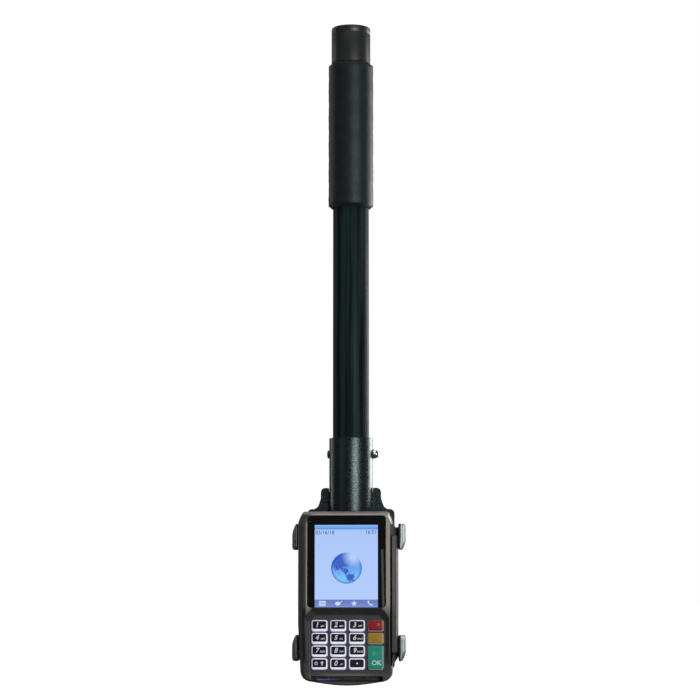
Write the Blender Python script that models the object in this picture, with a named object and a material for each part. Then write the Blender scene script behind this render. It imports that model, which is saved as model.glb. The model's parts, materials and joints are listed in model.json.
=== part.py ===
"""Card payment terminal clamped in a hand-held pole holder.

The frame: +Z runs up the pole, the screen faces -Y, +X is to the right of someone
reading the screen.  The origin is on the pole's axis at the middle of the foam grip.
Dimensions are in millimetres and become metres when a mesh is made.
"""

import math

import bmesh
import bpy
from mathutils import Matrix, Vector

MM = 0.001
GAP = 0.3                      # clearance between pieces that touch

# Holder: heights are measured up from the plate's bottom edge.
PLATE_WIDTH = 76.2
PLATE_HEIGHT = 139.5
PLATE_THICK = 3.0
PLATE_CORNER = 5.0
COLLAR_DIAMETER = 38.1
COLLAR_BOTTOM = 136.4
COLLAR_LENGTH = 65.0
POLE_DIAMETER = 31.75
POLE_WALL = 2.0
POLE_BOTTOM = COLLAR_BOTTOM + 3.5
GRIP_DIAMETER = 40.0
GRIP_LENGTH = 130.0
GRIP_CENTRE = 470.5
CAP_LENGTH = 33.0
CAP_WALL = 1.1
PRONG_TOP = 158.0
PRONG_WIDTH = 7.0
NOTCH_RADIUS = 12.8
NOTCH_RISE = 3.5               # of the notch's centre above the collar's seat
BOLT_HEIGHT = COLLAR_BOTTOM + 51.0
BOLT_DIAMETER = 5.0
SLOT_WIDTH = 5.0
SLOT_INNER = 17.0              # |x| of a slot's inner end
SLOT_OUTER = 36.0
CLAMP_ROWS = {"lower": 22.5, "upper": 117.5}
SPARE_ROWS = (52.0, 94.5)

# Terminal: z is measured from its top edge, so it is negative down the face.
TERMINAL_TOP = 136.0           # above the plate's bottom edge
HALF_LEFT = 42.7
HALF_RIGHT = 38.2              # body side, inside the swipe groove's wall
WALL_RIGHT = 42.8              # outer face of the swipe groove's wall
LENGTH = 149.0
BACK_Y = -8.0
SPLIT_Y = -24.0
DECK_Y = -41.5
FRONT_Y = -44.5
INNER_Y = DECK_Y + 2.2         # back of the front shell's face
CAVITY_BOTTOM = -135.9

WINDOW = (-34.5, 33.0, -82.0, -3.5)      # x0, x1, z0, z1 of the glass's pocket
LCD_HOLE = (-27.5, 25.5, -81.0, -11.8)
WINDOW_FLOOR_Y = FRONT_Y + 2.5

GROOVE = (36.5, HALF_RIGHT)    # x of the swipe groove's two faces
GROOVE_FLOOR_Y = -32.0
SWIPE_WALL = (-121.0, -20.0)   # z of the wall's two ends
HEAD_Y = (-38.9, -34.4)        # the magnetic head's depth range

KEY_WIDTH = 13.4
KEY_HEIGHT = 9.5
KEY_PITCH_X = 16.0
KEY_PITCH_Z = 10.8
KEY_FIRST_ROW = -97.4
KEY_PLAY = 0.3
KEY_TOP_Y = -44.6
KEY_FLANGE_Y = (INNER_Y + GAP, INNER_Y + 1.1)
KEYS = (
    ("key_1", "key_2", "key_3", "key_cancel"),
    ("key_4", "key_5", "key_6", "key_clear"),
    ("key_7", "key_8", "key_9", "key_enter"),
    ("key_function", "key_0", "key_dot", None),
)

SCREW_PLACES = ((-33.5, -13.0), (31.5, -13.0), (-28.0, -139.0), (28.0, -139.0))

CLAMP_SCREW_X = 23.0           # where the screw stands when the clamps hold the terminal
FOOT_THICK = 2.0
FOOT_RADIUS = 7.0
ARM_WIDTH = 12.0
ARM_THICK = 2.0
PAD_INNER_X = WALL_RIGHT + GAP
PAD_THICK = 5.8
PAD_LENGTH = 22.0
PAD_DROP = 3.0                 # of the pad's middle below its screw
PAD_Y = (-13.0, -40.5)
ARM_TIP_Y = -30.0

ROUND = 40                     # sides of the large round pieces
SMALL_ROUND = 16

BLACK_STEEL = ((0.020, 0.026, 0.026), 0.42, 0.0)
BLACK_TUBE = ((0.012, 0.016, 0.016), 0.25, 0.0)
BLACK_FOAM = ((0.018, 0.022, 0.023), 0.85, 0.0)
BLACK_RUBBER = ((0.030, 0.036, 0.036), 0.55, 0.0)
BRIGHT_STEEL = ((0.62, 0.62, 0.60), 0.22, 1.0)
DARK_SCREW = ((0.05, 0.05, 0.05), 0.35, 1.0)
HOUSING = ((0.042, 0.036, 0.032), 0.38, 0.0)
GLASS_BLACK = ((0.006, 0.006, 0.007), 0.06, 0.0)
LCD_METAL = ((0.45, 0.47, 0.50), 0.35, 1.0)
KEY_WHITE = ((0.82, 0.82, 0.90), 0.35, 0.0)
KEY_RED = ((0.30, 0.010, 0.014), 0.35, 0.0)
KEY_YELLOW = ((0.38, 0.25, 0.015), 0.35, 0.0)
KEY_GREEN = ((0.010, 0.27, 0.15), 0.35, 0.0)
BOARD_GREEN = ((0.015, 0.12, 0.05), 0.45, 0.0)
SILICONE = ((0.35, 0.35, 0.38), 0.65, 0.0)
TIN = ((0.55, 0.55, 0.55), 0.3, 1.0)
PLASTIC_BLACK = ((0.015, 0.015, 0.016), 0.45, 0.0)


# ---------------------------------------------------------------- mesh tools

def make(name, look, verts, faces):
    """A mesh object from millimetre points, with its own material."""
    mesh = bpy.data.meshes.new(name)
    mesh.from_pydata([Vector(v) * MM for v in verts], [], faces)
    form = bmesh.new()
    form.from_mesh(mesh)
    bmesh.ops.recalc_face_normals(form, faces=form.faces)
    form.to_mesh(mesh)
    form.free()
    obj = bpy.data.objects.new(name, mesh)
    bpy.context.scene.collection.objects.link(obj)
    if look is not None:
        colour, roughness, metallic = look
        material = bpy.data.materials.new(name)
        material.use_nodes = True
        shader = material.node_tree.nodes["Principled BSDF"]
        shader.inputs["Base Color"].default_value = (*colour, 1.0)
        shader.inputs["Roughness"].default_value = roughness
        shader.inputs["Metallic"].default_value = metallic
        mesh.materials.append(material)
    return obj


def loft(name, look, rings):
    """A closed solid through rings of equally many points, capped at both ends."""
    count = len(rings[0])
    verts = [point for ring in rings for point in ring]
    faces = [tuple(range(count)), tuple(range(len(verts) - count, len(verts)))]
    for k in range(len(rings) - 1):
        for i in range(count):
            a = k * count + i
            b = k * count + (i + 1) % count
            faces.append((a, b, b + count, a + count))
    return make(name, look, verts, faces)


def rounded(corners, steps=4):
    """A closed outline of (x, z) points; each corner is (x, z, radius)."""
    outline = []
    for i, (x, z, radius) in enumerate(corners):
        here = Vector((x, z))
        before = (Vector(corners[i - 1][:2]) - here).normalized()
        after = (Vector(corners[(i + 1) % len(corners)][:2]) - here).normalized()
        half = before.angle(after) / 2
        reach = radius / math.tan(half)
        centre = here + (before + after).normalized() * radius / math.sin(half)
        start = here + before * reach - centre
        turn = start.angle_signed(here + after * reach - centre)
        for step in range(steps + 1):
            angle = -turn * step / steps
            swung = Matrix.Rotation(angle, 2) @ start
            outline.append(tuple(centre + swung))
    return outline


def rectangle(x0, x1, z0, z1, radius, steps=3):
    corners = ((x0, z0, radius), (x1, z0, radius), (x1, z1, radius), (x0, z1, radius))
    return rounded(corners, steps)


def at_y(outline, y):
    return [(x, y, z) for x, z in outline]


def slab(name, look, outline, y0, y1):
    return loft(name, look, [at_y(outline, y0), at_y(outline, y1)])


def box(name, look, x, y, z):
    outline = ((x[0], z[0]), (x[1], z[0]), (x[1], z[1]), (x[0], z[1]))
    return slab(name, look, outline, *y)


def circle(radius, along, axis, centre=(0.0, 0.0), sides=ROUND, turn=0.0):
    """Points of a circle round an axis: its centre is in the other two directions."""
    ring = []
    for i in range(sides):
        angle = 2 * math.pi * i / sides + turn
        p = centre[0] + radius * math.cos(angle)
        q = centre[1] + radius * math.sin(angle)
        ring.append({"x": (along, p, q), "y": (p, along, q), "z": (p, q, along)}[axis])
    return ring


def turned(name, look, profile, axis, centre=(0.0, 0.0), sides=ROUND, turn=0.0):
    """A turned solid from (radius, distance along the axis) pairs."""
    rings = [circle(r, along, axis, centre, sides, turn) for r, along in profile]
    return loft(name, look, rings)


def shape(target, tool, operation):
    """Cuts or joins a tool into the target, and removes the tool."""
    modifier = target.modifiers.new("shape", "BOOLEAN")
    modifier.operation = operation
    modifier.solver = "EXACT"
    modifier.object = tool
    bpy.context.view_layer.update()
    graph = bpy.context.evaluated_depsgraph_get()
    mesh = bpy.data.meshes.new_from_object(target.evaluated_get(graph))
    target.modifiers.clear()
    target.data = mesh
    bpy.data.objects.remove(tool)


def cut(target, *tools):
    for tool in tools:
        shape(target, tool, "DIFFERENCE")


def join(target, *tools):
    for tool in tools:
        shape(target, tool, "UNION")


def place(obj, parent, location=(0.0, 0.0, 0.0)):
    obj.parent = parent
    obj.location = Vector(location) * MM
    return obj


def smooth(obj, degrees=35):
    obj.data.shade_smooth()
    obj.data.set_sharp_from_angle(angle=math.radians(degrees))


def mirrored(obj, name):
    """A copy of an object's mesh mirrored in x, as its own object."""
    mesh = obj.data.copy()
    form = bmesh.new()
    form.from_mesh(mesh)
    bmesh.ops.scale(form, vec=(-1.0, 1.0, 1.0), verts=form.verts)
    bmesh.ops.reverse_faces(form, faces=form.faces)
    form.to_mesh(mesh)
    form.free()
    copy = bpy.data.objects.new(name, mesh)
    bpy.context.scene.collection.objects.link(copy)
    return copy


def twin(obj, name):
    """A second object that shares the first one's mesh."""
    copy = bpy.data.objects.new(name, obj.data)
    bpy.context.scene.collection.objects.link(copy)
    return copy


def anchor(name, location):
    empty = bpy.data.objects.new(name, None)
    bpy.context.scene.collection.objects.link(empty)
    empty.location = Vector(location) * MM
    return empty


# ---------------------------------------------------------------- terminal shells

def body_outline(left=0.0, right=0.0, top=0.0, bottom=0.0):
    """The face's outline without the swipe wall, drawn in by the four insets."""
    corners = (
        (-38.5 + left, -top, 3.5),
        (-HALF_LEFT + left, -9.0 - top, 8.0),
        (-HALF_LEFT + left, -95.0, 40.0),
        (-40.2 + left, -143.5 + bottom, 9.0),
        (-1.0, 0.6 - LENGTH - 1.2 + bottom, 120.0),
        (HALF_RIGHT - right, -143.5 + bottom, 9.0),
        (HALF_RIGHT - right, -9.0 - top, 8.0),
        (35.0 - right, -top, 3.5),
    )
    return rounded(corners)


def base_outline(inset=0.0):
    """The outline behind the groove's floor, where the wall joins the body."""
    corners = (
        (-38.5 + inset, -inset, 3.5),
        (-HALF_LEFT + inset, -9.0 - inset, 8.0),
        (-HALF_LEFT + inset, -95.0, 40.0),
        (-40.2 + inset, -143.5 + inset, 9.0),
        (-1.0, 0.6 - LENGTH - 1.2 + inset, 120.0),
        (HALF_RIGHT - inset, -143.5 + inset, 9.0),
        (HALF_RIGHT - inset, -131.0, 3.0),
        (WALL_RIGHT - inset, -124.0, 3.0),
        (WALL_RIGHT - inset, -18.0, 4.0),
        (HALF_RIGHT - inset, -9.0 - inset, 4.0),
        (35.0 - inset, -inset, 3.5),
    )
    return rounded(corners)


def swipe_wall(inset):
    z0, z1 = SWIPE_WALL
    return rectangle(GROOVE[1] - 0.4, WALL_RIGHT - inset, z0 + inset, z1 - inset, 1.5)


def front_housing():
    shell = loft("terminal_front_housing", HOUSING, [
        at_y(body_outline(0.6, 0.6, 0.6, 0.6), SPLIT_Y - 0.5),
        at_y(body_outline(), -31.0),
        at_y(body_outline(), -39.5),
        at_y(body_outline(6.5, 0.8, 1.8, 1.6), -44.0),
        at_y(body_outline(7.3, 1.4, 2.6, 2.4), FRONT_Y),
    ])
    join(shell, loft("base", None, [
        at_y(base_outline(0.6), SPLIT_Y),
        at_y(base_outline(), GROOVE_FLOOR_Y + 1.5),
        at_y(base_outline(), GROOVE_FLOOR_Y - 0.2),
    ]))
    join(shell, loft("wall", None, [
        at_y(swipe_wall(0.0), -27.0),
        at_y(swipe_wall(0.0), -41.0),
        at_y(swipe_wall(1.2), -43.6),
    ]))
    cavity = body_outline(2.4, HALF_RIGHT - 34.0, 2.4, 0.0)
    cavity = [(x, max(z, CAVITY_BOTTOM)) for x, z in cavity]
    cut(shell, slab("cavity", None, cavity, SPLIT_Y + 1.0, INNER_Y))
    cut_face(shell)
    cut_swipe_groove(shell)
    cut_card_mouth(shell)
    add_screw_bosses(shell)
    return shell


def cut_face(shell):
    """Window pocket, display hole, key deck, sloping chin and the key holes."""
    x0, x1, z0, z1 = WINDOW
    cut(shell, slab("pocket", None, rectangle(x0, x1, z0, z1, 3.0),
                    FRONT_Y - 1.0, WINDOW_FLOOR_Y))
    x0, x1, z0, z1 = LCD_HOLE
    cut(shell, box("hole", None, (x0, x1), (FRONT_Y, INNER_Y + 1.0), (z0, z1)))
    deck = ((-32.2, -152.0, 1.0), (32.2, -152.0, 1.0), (32.2, -94.5, 3.0),
            (27.0, -88.5, 3.0), (-27.0, -88.5, 3.0), (-32.2, -94.5, 3.0))
    mouth = ((-38.6, -152.0, 1.0), (35.4, -152.0, 1.0), (35.4, -90.5, 3.0),
             (31.5, -83.4, 3.0), (-32.0, -83.4, 3.0), (-38.6, -90.5, 3.0))
    cut(shell, loft("deck", None, [
        at_y(rounded(deck), DECK_Y),
        at_y(rounded(mouth), FRONT_Y),
        at_y(rounded(mouth), FRONT_Y - 2.0),
    ]))
    chin = ((-47.0, -110.0), (DECK_Y - 0.1, -130.0), (DECK_Y - 0.1, -153.0), (-47.0, -153.0))
    cut(shell, loft("chin", None, [[(x, y, z) for y, z in chin] for x in (-50.0, 50.0)]))
    for name, x, z, height in key_places():
        half_x = KEY_WIDTH / 2 + KEY_PLAY
        half_z = height / 2 + KEY_PLAY
        hole = rectangle(x - half_x, x + half_x, z - half_z, z + half_z, 2.0, 2)
        cut(shell, slab("hole", None, hole, DECK_Y - 1.0, INNER_Y + 1.0))


def cut_swipe_groove(shell):
    cut(shell, box("groove", None, GROOVE, (FRONT_Y - 1.0, GROOVE_FLOOR_Y), (-131.0, -11.0)))
    cut(shell, box("head_hole", None, (33.0, GROOVE[0] + 0.5), (INNER_Y, HEAD_Y[1] + 0.4),
                   (-73.6, -66.4)))


def cut_card_mouth(shell):
    """The card slot's flared mouth across the chin and the slit above it."""
    flare = ((-46.0, -139.6), (-33.8, -140.8), (-32.0, -143.8), (-46.0, -145.4))
    cut(shell, loft("flare", None, [[(x, y, z) for y, z in flare] for x in (-31.0, 30.0)]))
    cut(shell, box("slit", None, (-28.0, 27.0), (-33.6, -32.2), (-143.0, -134.0)))


def add_screw_bosses(shell):
    for x, z in SCREW_PLACES[:2]:
        post = turned("post", None, ((3.2, SPLIT_Y - 0.4), (3.2, INNER_Y - 0.6)), "y",
                      (x, z), SMALL_ROUND)
        join(shell, post)
    for x, z in SCREW_PLACES:
        cut(shell, turned("bore", None, ((1.5, SPLIT_Y + 1.0), (1.5, -31.0)), "y",
                          (x, z), SMALL_ROUND))


def rear_housing():
    shell = loft("terminal_rear_housing", HOUSING, [
        at_y(base_outline(0.6), SPLIT_Y + GAP),
        at_y(base_outline(1.0), -14.0),
        at_y(base_outline(2.0), -10.0),
        at_y(base_outline(3.4), BACK_Y),
    ])
    cut(shell, slab("cavity", None, base_outline(3.4), SPLIT_Y - 1.0, BACK_Y - 3.2))
    for x, z in SCREW_PLACES:
        join(shell, turned("post", None, ((3.6, SPLIT_Y + 0.5), (3.6, BACK_Y - 1.0)), "y",
                           (x, z), SMALL_ROUND))
    for x, z in SCREW_PLACES:
        cut(shell, turned("bore", None, ((1.5, SPLIT_Y - 1.0), (1.5, -10.0)), "y",
                          (x, z), SMALL_ROUND))
        cut(shell, turned("head", None, ((2.8, -12.2), (2.8, BACK_Y + 1.0)), "y",
                          (x, z), SMALL_ROUND))
    cut(shell, slab("hatch_seat", None, rectangle(-15.0, 15.0, -60.0, -22.0, 2.0),
                    BACK_Y - 1.9, BACK_Y + 1.0))
    cut(shell, slab("hatch_hole", None, rectangle(-12.0, 12.0, -54.0, -25.0, 1.5),
                    BACK_Y - 4.0, BACK_Y))
    cut(shell, turned("hatch_bore", None, ((1.4, BACK_Y - 4.0), (1.4, BACK_Y)), "y",
                      (0.0, -57.0), SMALL_ROUND))
    cut(shell, box("port", None, (-8.4, 8.4), (-20.4, -13.6), (-6.0, 1.0)))
    for x in (-26.0, -22.0, -18.0):
        cut(shell, slab("grille", None, rectangle(x - 0.8, x + 0.8, -46.0, -34.0, 0.7, 2),
                        BACK_Y - 4.0, BACK_Y + 1.0))
    return shell


# ---------------------------------------------------------------- terminal pieces

def key_places():
    """Each key's name, centre and height on the deck."""
    places = []
    for row, names in enumerate(KEYS):
        for column, name in enumerate(names):
            if name is None:
                continue
            x = (column - 1.5) * KEY_PITCH_X
            z = KEY_FIRST_ROW - row * KEY_PITCH_Z
            height = KEY_HEIGHT
            if name == "key_enter":
                z -= KEY_PITCH_Z / 2
                height += KEY_PITCH_Z
            places.append((name, x, z, height))
    return places


def key_cap(name, look, height):
    """A key about its own centre: flange behind the deck, stem and tapered top."""
    def ring(grow, radius, y):
        half_x = KEY_WIDTH / 2 + grow
        half_z = height / 2 + grow
        return at_y(rectangle(-half_x, half_x, -half_z, half_z, radius, 2), y - DECK_Y)

    near, far = KEY_FLANGE_Y
    cap = loft(name, look, [
        ring(0.5, 1.0, far),
        ring(0.5, 1.0, near),
        ring(0.0, 1.8, near - 0.1),
        ring(0.0, 1.8, KEY_TOP_Y + 1.4),
        ring(-0.5, 1.5, KEY_TOP_Y + 0.4),
        ring(-1.1, 1.1, KEY_TOP_Y),
    ])
    return cap


def keys(terminal):
    looks = {"key_cancel": KEY_RED, "key_clear": KEY_YELLOW, "key_enter": KEY_GREEN}
    for name, x, z, height in key_places():
        cap = key_cap(name, looks.get(name, KEY_WHITE), height)
        place(cap, terminal, (x, DECK_Y, z))


def display_window():
    x0, x1, z0, z1 = WINDOW
    outline = rectangle(x0 + GAP, x1 - GAP, z0 + GAP, z1 - GAP, 2.7)
    return slab("display_window", GLASS_BLACK, outline,
                WINDOW_FLOOR_Y - GAP, WINDOW_FLOOR_Y - GAP - 1.6)


def lcd_module():
    module = box("lcd_module", LCD_METAL, (-28.3, 26.3), (-39.0, -35.6), (-82.4, -10.6))
    x0, x1, z0, z1 = LCD_HOLE
    join(module, box("face", None, (x0 + GAP, x1 - GAP), (-41.6, -38.5),
                     (z0 + GAP, z1 - GAP)))
    return module


def keypad_membrane():
    sheet = slab("keypad_membrane", SILICONE, rectangle(-31.0, 31.0, -135.2, -91.0, 2.0),
                 -36.7, -35.2)
    return sheet


def chip_reader():
    reader = box("chip_reader", PLASTIC_BLACK, (-24.0, 24.0), (-34.8, -30.8),
                 (-135.0, -104.0))
    cut(reader, box("slit", None, (-22.0, 22.0), (-33.5, -32.3), (-136.0, -108.0)))
    return reader


def main_board():
    board = box("main_board", BOARD_GREEN, (-27.0, 27.0), (-29.8, -28.2), (-134.0, -20.0))
    chips = (((-8.0, 8.0), (-76.0, -60.0)), ((14.0, 22.0), (-70.0, -60.0)),
             ((-22.0, -14.0), (-96.0, -84.0)), ((4.0, 16.0), (-52.0, -44.0)))
    for x, z in chips:
        join(board, box("chip", None, x, (-31.0, -29.6), z))
    return board


def tamper_shield():
    can = box("tamper_shield", TIN, (-22.0, 22.0), (-27.9, -24.8), (-128.0, -84.0))
    cut(can, box("inside", None, (-21.4, 21.4), (-29.0, -25.4), (-127.4, -84.6)))
    return can


def contactless_antenna():
    loop = slab("contactless_antenna", BOARD_GREEN, rectangle(-29.5, 27.5, -84.0, -12.0, 2.0),
                -34.6, -33.8)
    cut(loop, slab("inside", None, rectangle(-24.5, 22.5, -79.0, -17.0, 1.5), -36.0, -33.0))
    return loop


def magstripe_head():
    near, far = HEAD_Y
    head = box("magstripe_head", TIN, (29.5, 36.0), (near, far), (-73.2, -66.8))
    tip = loft("tip", None, [
        [(x, near + 1.0, -70.0 - half), (x, near + 1.0, -70.0 + half),
         (x, far - 1.0, -70.0 + half), (x, far - 1.0, -70.0 - half)]
        for x, half in ((35.8, 2.4), (36.7, 1.2))
    ])
    join(head, tip)
    return head


def io_connector():
    body = box("io_connector", PLASTIC_BLACK, (-8.0, 8.0), (-20.0, -14.0), (-15.0, -2.4))
    cut(body, box("socket", None, (-6.8, 6.8), (-18.8, -15.2), (-11.0, -1.0)))
    return body


def rear_hatch():
    lid = slab("rear_hatch", HOUSING, rectangle(-14.7, 14.7, -59.7, -22.3, 1.8),
               BACK_Y - 0.2, BACK_Y - 1.6)
    cut(lid, turned("bore", None, ((1.5, BACK_Y - 3.0), (1.5, BACK_Y + 1.0)), "y",
                    (0.0, -57.0), SMALL_ROUND))
    cut(lid, turned("sink", None, ((1.9, BACK_Y - 1.0), (1.9, BACK_Y + 1.0)), "y",
                    (0.0, -57.0), SMALL_ROUND))
    return lid


def hatch_screw():
    profile = ((1.6, BACK_Y - 0.1), (1.6, BACK_Y - 0.7), (1.1, BACK_Y - 0.7 - 0.05),
               (1.1, BACK_Y - 3.2))
    return turned("hatch_screw", DARK_SCREW, profile, "y", (0.0, -57.0), SMALL_ROUND)


def terminal_screws(terminal):
    for number, (x, z) in enumerate(SCREW_PLACES, 1):
        profile = ((1.6, -9.6), (2.4, -9.9), (2.4, -11.8), (1.2, -11.9), (1.2, -28.6), (0.6, -29.4))
        screw = turned(f"terminal_screw_{number}", DARK_SCREW, profile, "y",
                       sides=SMALL_ROUND)
        place(screw, terminal, (x, 0.0, z))
        smooth(screw)


def rubber_foot(name, z):
    outline = rectangle(-13.0, 13.0, z - 4.0, z + 4.0, 2.5)
    front = BACK_Y + GAP
    back = -PLATE_THICK / 2 - GAP
    return loft(name, BLACK_RUBBER, [
        at_y(outline, front),
        at_y(outline, back - 0.6),
        at_y(rectangle(-12.4, 12.4, z - 3.4, z + 3.4, 1.9), back),
    ])


def build_terminal(terminal):
    front = front_housing()
    rear = rear_housing()
    for shell in (front, rear):
        smooth(shell, 28)
        place(shell, terminal)
    pieces = (display_window(), lcd_module(), keypad_membrane(), chip_reader(), main_board(),
              tamper_shield(), contactless_antenna(), magstripe_head(), io_connector(),
              rear_hatch(), hatch_screw(), rubber_foot("rubber_foot_upper", -12.0),
              rubber_foot("rubber_foot_lower", -100.0))
    for piece in pieces:
        place(piece, terminal)
    speaker = turned("speaker", TIN, ((9.0, -12.0), (9.0, -14.0), (5.0, -17.0)), "y",
                     sides=24)
    place(speaker, terminal, (-22.0, 0.0, -40.0))
    cell = turned("coin_cell", TIN, ((9.6, -24.7), (10.0, -25.1), (10.0, -27.9)), "y", sides=24)
    place(cell, terminal, (12.0, 0.0, -40.0))
    for piece in (speaker, cell):
        smooth(piece)
    keys(terminal)
    terminal_screws(terminal)


# ---------------------------------------------------------------- holder

def plate_outline():
    """Plate, shoulders and fork, counter-clockwise from the bottom left corner."""
    half = PLATE_WIDTH / 2
    inner = COLLAR_DIAMETER / 2 + GAP
    outer = inner + PRONG_WIDTH
    ledge = COLLAR_BOTTOM - GAP
    right = [
        (half, 0.0, PLATE_CORNER),
        (half, PLATE_HEIGHT, 4.0),
        (outer + 5.5, PLATE_HEIGHT, 2.5),
        (outer + 2.3, PLATE_HEIGHT + 2.3, 4.0),
        (outer, PLATE_HEIGHT + 9.5, 7.0),
        (outer, PRONG_TOP, 3.8),
        (inner, PRONG_TOP, 0.8),
        (inner, ledge, 0.2),
    ]
    notch = []
    centre = ledge + NOTCH_RISE
    start = math.asin(NOTCH_RISE / NOTCH_RADIUS)
    steps = 14
    for i in range(steps + 1):
        angle = -start - (math.pi - 2 * start) * i / steps
        notch.append((NOTCH_RADIUS * math.cos(angle), centre + NOTCH_RADIUS * math.sin(angle)))
    left = [(-x, z, r) for x, z, r in reversed(right)]
    around = rounded(right + left)
    half_count = len(around) // 2
    return around[:half_count] + notch + around[half_count:]


def slot_outline(x0, x1, z, width):
    return rectangle(min(x0, x1), max(x0, x1), z - width / 2, z + width / 2,
                     width / 2 - 0.1, 5)


def bracket_plate():
    half = PLATE_THICK / 2
    plate = slab("bracket_plate", BLACK_STEEL, plate_outline(), -half, half)
    through = (-half - 1.0, half + 1.0)
    for z in (*CLAMP_ROWS.values(), *SPARE_ROWS):
        for side in (-1, 1):
            outline = slot_outline(side * SLOT_INNER, side * SLOT_OUTER, z, SLOT_WIDTH)
            cut(plate, slab("slot", None, outline, *through))
    cut(plate, slab("slot", None, slot_outline(-10.5, 10.5, 71.0, 3.0), *through))
    cut(plate, slab("slot", None, rectangle(-2.5, 2.5, 3.5, 22.0, 2.4, 5), *through))
    for z in (62.7, 79.0):
        cut(plate, turned("hole", None, ((2.9, through[0]), (2.9, through[1])), "y",
                          (0.0, z), SMALL_ROUND))
    return plate


def ringed(name, look, outer, inner, z0, z1, edge=0.4):
    """A tube along z with slightly eased outer edges."""
    body = turned(name, look, ((outer - edge, z0), (outer, z0 + edge), (outer, z1 - edge),
                               (outer - edge, z1)), "z")
    cut(body, turned("bore", None, ((inner, z0 - 1.0), (inner, z1 + 1.0)), "z"))
    return body


def pole_collar():
    collar = ringed("pole_collar", BLACK_STEEL, COLLAR_DIAMETER / 2, POLE_DIAMETER / 2 + GAP,
                    COLLAR_BOTTOM, COLLAR_BOTTOM + COLLAR_LENGTH)
    cut(collar, cross_bore(COLLAR_DIAMETER))
    return collar


def cross_bore(reach):
    radius = BOLT_DIAMETER / 2 + GAP
    return turned("bore", None, ((radius, -reach), (radius, reach)), "x",
                  (0.0, BOLT_HEIGHT), SMALL_ROUND)


def pole_top():
    return GRIP_CENTRE + GRIP_LENGTH / 2 + CAP_LENGTH


def pole_tube():
    tube = ringed("pole_tube", BLACK_TUBE, POLE_DIAMETER / 2, POLE_DIAMETER / 2 - POLE_WALL,
                  POLE_BOTTOM, pole_top() - 3.3, 0.3)
    cut(tube, cross_bore(POLE_DIAMETER))
    return tube


def foam_grip():
    radius = GRIP_DIAMETER / 2
    z0 = GRIP_CENTRE - GRIP_LENGTH / 2
    z1 = z0 + GRIP_LENGTH
    soft = 2.4
    ease = [(radius - soft * (1 - math.sin(a)), soft * (1 - math.cos(a)))
            for a in (math.radians(d) for d in (0, 30, 60, 90))]
    profile = [(r, z0 + d) for r, d in ease] + [(r, z1 - d) for r, d in reversed(ease)]
    grip = turned("foam_grip", BLACK_FOAM, profile, "z")
    bore = POLE_DIAMETER / 2 + GAP
    cut(grip, turned("bore", None, ((bore, z0 - 1.0), (bore, z1 + 1.0)), "z"))
    return grip


def pole_end_cap():
    radius = POLE_DIAMETER / 2 + GAP + CAP_WALL
    z0 = GRIP_CENTRE + GRIP_LENGTH / 2 + GAP
    z1 = pole_top()
    profile = ((radius, z0), (radius, z1 - 1.5), (radius - 0.45, z1 - 0.45), (radius - 1.5, z1))
    cap = turned("pole_end_cap", PLASTIC_BLACK, profile, "z")
    bore = POLE_DIAMETER / 2 + GAP
    cut(cap, turned("bore", None, ((bore, z0 - 1.0), (bore, z1 - 3.0)), "z"))
    return cap


def collar_bolt():
    seat = -COLLAR_DIAMETER / 2 - GAP
    shank = BOLT_DIAMETER / 2
    profile = ((1.9, seat - 1.5), (3.2, seat - 1.1), (3.7, seat - 0.4), (3.7, seat),
               (shank, seat + 0.05), (shank, -seat + 2.4), (shank - 0.6, -seat + 3.0))
    bolt = turned("collar_bolt", DARK_SCREW, profile, "x", sides=24)
    cut(bolt, turned("socket", None, ((1.3, seat - 2.5), (1.3, seat - 0.7)), "x",
                     sides=6))
    return bolt


def collar_nut():
    """A domed cap nut with a washer face, blind where it covers the bolt's end."""
    seat = COLLAR_DIAMETER / 2 + GAP
    nut = turned("collar_nut", BRIGHT_STEEL, ((4.3, seat), (4.3, seat + 0.8)), "x", sides=24)
    join(nut, turned("hex", None, ((4.0, seat + 0.5), (4.0, seat + 2.5), (3.7, seat + 2.8)),
                     "x", sides=6))
    dome = [(3.4 * math.cos(a), seat + 2.6 + 2.8 * math.sin(a))
            for a in (math.radians(d) for d in (0, 25, 50, 75))]
    join(nut, turned("dome", None, dome, "x", sides=24))
    bore = BOLT_DIAMETER / 2 + GAP
    cut(nut, turned("bore", None, ((bore, seat - 1.0), (bore, seat + 3.6)), "x", sides=24))
    return nut


def clamp_arm(name):
    """A right-hand arm about its screw: foot strip, bend and upright."""
    back = -PLATE_THICK / 2 - GAP
    front = back - FOOT_THICK
    out = PAD_INNER_X - CLAMP_SCREW_X + (PAD_THICK - ARM_THICK) / 2
    half = ARM_WIDTH / 2
    side = [(back, 0.0), (back, out - 0.6), (back - 0.6, out + ARM_THICK - 0.4),
            (back - 2.0, out + ARM_THICK), (ARM_TIP_Y, out + ARM_THICK),
            (ARM_TIP_Y, out), (front - 1.6, out), (front - 0.4, out - 0.5),
            (front, out - 1.6), (front, 0.0)]
    arm = loft(name, BLACK_STEEL, [[(x, y, z) for y, x in side] for z in (-half, half)])
    join(arm, turned("end", None, ((FOOT_RADIUS, back), (FOOT_RADIUS, front)), "y", sides=24))
    cut(arm, turned("bore", None, ((2.3, back + 1.0), (2.3, front - 1.0)), "y",
                    sides=SMALL_ROUND))
    return arm


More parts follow.
